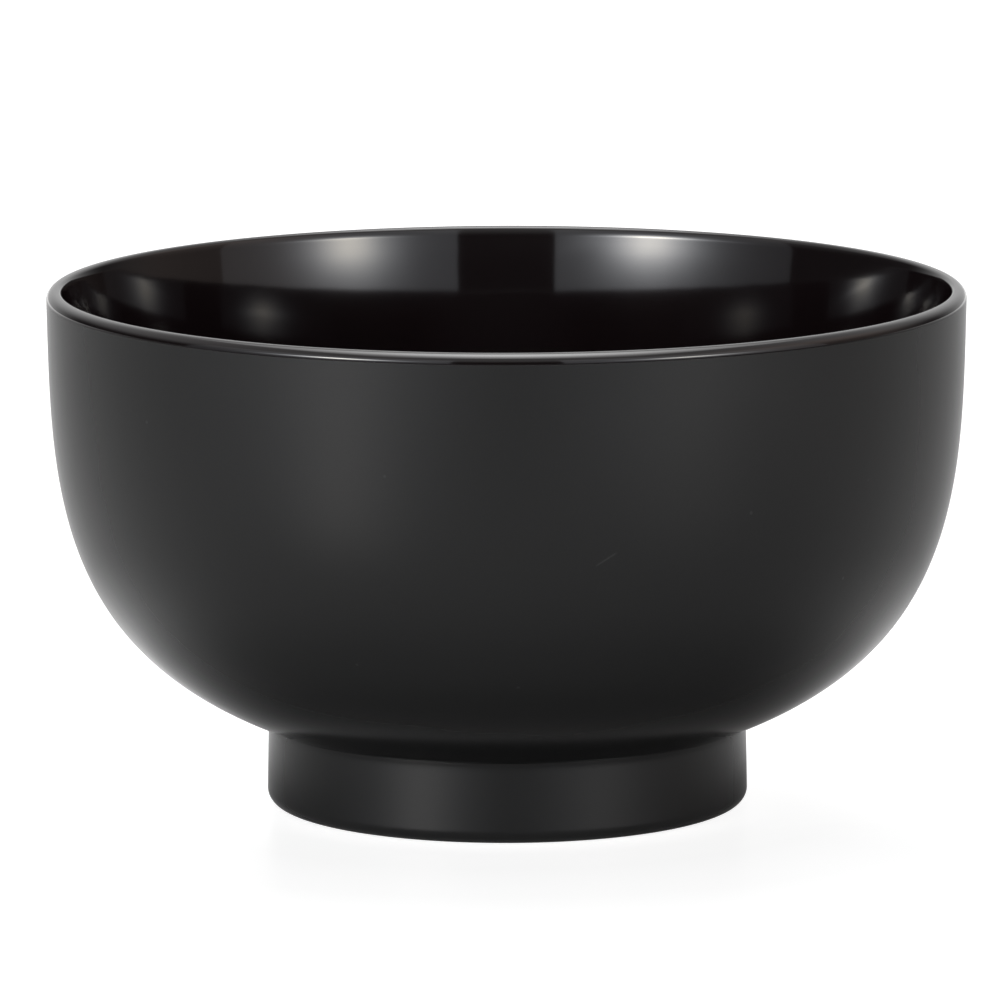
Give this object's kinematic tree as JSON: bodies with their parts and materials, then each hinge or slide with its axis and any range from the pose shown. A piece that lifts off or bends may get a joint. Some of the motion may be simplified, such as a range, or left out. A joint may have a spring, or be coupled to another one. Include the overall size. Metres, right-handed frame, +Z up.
{
  "type": "soup bowl",
  "caption": "Deep round soup bowl with near-upright walls, satin black outside, gloss black inside with a rolled lip, standing on a low foot ring.",
  "frame": {"origin": "centre of the flat ring face that the bowl stands on", "axes": "+Z up along the axis of revolution, out of the bowl's mouth; X and Y are free, as the bowl is round"},
  "size_m": [0.12, 0.12, 0.068],
  "materials": {
    "satin_black": "satin lacquer, finely sprayed",
    "gloss_black": "high gloss lacquer",
    "foot_black": "satin lacquer, slightly rubbed at the standing face"
  },
  "bodies": {
    "root": {"outer_shell": "satin_black", "inner_liner": "gloss_black", "foot_ring": "foot_black"}
  },
  "joints": []
}
